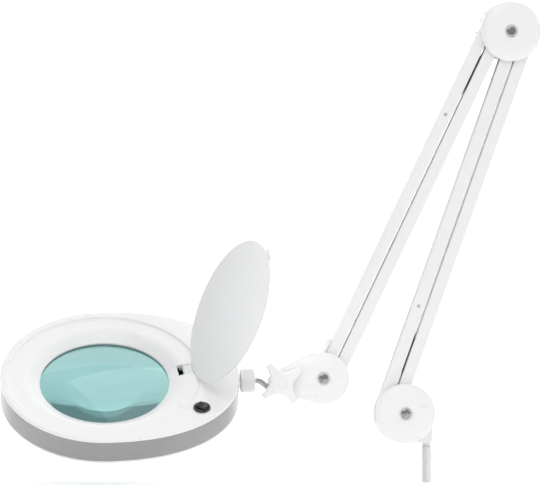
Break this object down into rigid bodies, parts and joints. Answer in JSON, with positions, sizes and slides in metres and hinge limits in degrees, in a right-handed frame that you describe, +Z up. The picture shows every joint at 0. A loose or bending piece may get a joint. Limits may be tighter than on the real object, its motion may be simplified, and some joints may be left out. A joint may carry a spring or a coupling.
{
  "type": "magnifying lamp",
  "caption": "Round magnifying lens head with ring light, hinged lens cover and rocker switch, on a two-stage parallelogram arm with a post for a table clamp.",
  "frame": {"origin": "centre of the mounting post's bottom face", "axes": "+Z up along the post; the arms move in the XZ plane and the lens head is towards -X; the star knob's side faces -Y"},
  "size_m": [0.5115, 0.187, 0.455],
  "materials": {
    "white_abs": "satin moulded ABS",
    "white_painted_steel": "white powder coat",
    "brushed_silver": "brushed along the band",
    "nickel_steel": "nickel plated",
    "chrome": "polished chrome",
    "spring_steel": "oiled spring steel",
    "lens_glass": "clear polished, green-blue body",
    "black_plastic": "fine matte",
    "diffuser_acrylic": "frosted acrylic",
    "circuit_board": "solder mask"
  },
  "bodies": {
    "base": {"base_bracket": "white_painted_steel", "base_cap_front": "white_abs", "base_cap_back": "white_abs", "base_nut": "nickel_steel", "base_tension_screw": "chrome", "base_pivot_pin_a": "nickel_steel", "base_pivot_pin_b": "nickel_steel", "mounting_post": "nickel_steel"},
    "lower_bar_a": {"lower_bar_a": "white_painted_steel", "lower_spring": "spring_steel", "lower_spring_pin": "nickel_steel"},
    "lower_bar_b": {"lower_bar_b": "white_painted_steel"},
    "elbow": {"elbow_hub": "white_painted_steel", "elbow_cap_front": "white_abs", "elbow_cap_back": "white_abs", "elbow_nut": "nickel_steel", "elbow_tension_screw": "chrome", "elbow_lower_pin_a": "nickel_steel", "elbow_lower_pin_b": "nickel_steel", "elbow_upper_pin_a": "nickel_steel", "elbow_upper_pin_b": "nickel_steel"},
    "upper_bar_a": {"upper_bar_a": "white_painted_steel", "upper_spring": "spring_steel", "upper_spring_pin": "nickel_steel"},
    "upper_bar_b": {"upper_bar_b": "white_painted_steel"},
    "front": {"front_bracket": "white_painted_steel", "front_cap_front": "white_abs", "front_cap_back": "white_abs", "front_nut": "nickel_steel", "front_tension_screw": "chrome", "front_pivot_pin_a": "nickel_steel", "front_pivot_pin_b": "nickel_steel", "knob_nut": "nickel_steel"},
    "knob": {"star_knob": "white_abs", "knob_stud": "nickel_steel"},
    "neck": {"neck_rod": "chrome"},
    "head": {"top_shell": "white_abs", "bottom_shell": "white_abs", "trim_band": "brushed_silver", "lens": "lens_glass", "lens_retainer": "white_abs", "diffuser": "diffuser_acrylic", "led_board": "circuit_board", "driver_board": "circuit_board", "shell_screw_1": "nickel_steel", "shell_screw_2": "nickel_steel", "shell_screw_3": "nickel_steel", "shell_screw_4": "nickel_steel", "neck_socket": "nickel_steel", "neck_collar": "white_abs", "cover_hinge_pin": "nickel_steel", "switch_bezel": "black_plastic"},
    "cover": {"lens_cover": "white_abs"},
    "rocker": {"switch_rocker": "black_plastic"}
  },
  "joints": [
    {"name": "lower_arm", "type": "hinge", "parent": "base", "child": "lower_bar_a", "pos_m": [-0.0421, 0, 0.07228], "axis": [0, -1, 0], "range_deg": [-1, 45], "deforming": ["lower_spring"]},
    {"name": "lower_link", "type": "hinge", "parent": "base", "child": "lower_bar_b", "pos_m": [-0.02497, 0, 0.08038], "axis": [0, -1, 0], "range_deg": [-1.2, 45.2]},
    {"name": "elbow_level", "type": "hinge", "parent": "lower_bar_a", "child": "elbow", "pos_m": [0.08107, 0, 0.4163], "axis": [0, -1, 0], "range_deg": [-45.2, 1.2]},
    {"name": "upper_arm", "type": "hinge", "parent": "elbow", "child": "upper_bar_a", "pos_m": [0.0603, 0, 0.43796], "axis": [0, 1, 0], "range_deg": [0, 80], "deforming": ["upper_spring"]},
    {"name": "upper_link", "type": "hinge", "parent": "elbow", "child": "upper_bar_b", "pos_m": [0.06757, 0, 0.42208], "axis": [0, 1, 0], "range_deg": [-0.2, 80.2]},
    {"name": "front_level", "type": "hinge", "parent": "upper_bar_a", "child": "front", "pos_m": [-0.09701, 0, 0.10816], "axis": [0, 1, 0], "range_deg": [-80.2, 0.2]},
    {"name": "knob_turn", "type": "hinge", "parent": "front", "child": "knob", "pos_m": [-0.13924, 0, 0.09394], "axis": [0, -1, 0], "range_deg": [-180, 180]},
    {"name": "head_tilt", "type": "hinge", "parent": "front", "child": "neck", "pos_m": [-0.13924, 0, 0.09394], "axis": [0, 1, 0], "range_deg": [-60, 30]},
    {"name": "head_swivel", "type": "hinge", "parent": "neck", "child": "head", "pos_m": [-0.17, 0, 0.09612], "axis": [0.9994, 0, 0.0335], "range_deg": [-125, 55]},
    {"name": "cover_hinge", "type": "hinge", "parent": "head", "child": "cover", "pos_m": [-0.22825, 0.00235, 0.10466], "axis": [0.1244, -0.7974, -0.5905], "range_deg": [0, 119.4]},
    {"name": "switch_rock", "type": "hinge", "parent": "head", "child": "rocker", "pos_m": [-0.21649, -0.05103, 0.07149], "axis": [-0.5096, -0.6814, -0.5253], "range_deg": [0, 24]}
  ],
  "couplings": [
    {"joint": "lower_link", "follows": "lower_arm", "ratio": 1},
    {"joint": "elbow_level", "follows": "lower_arm", "ratio": -1},
    {"joint": "upper_link", "follows": "upper_arm", "ratio": 1},
    {"joint": "front_level", "follows": "upper_arm", "ratio": -1}
  ]
}
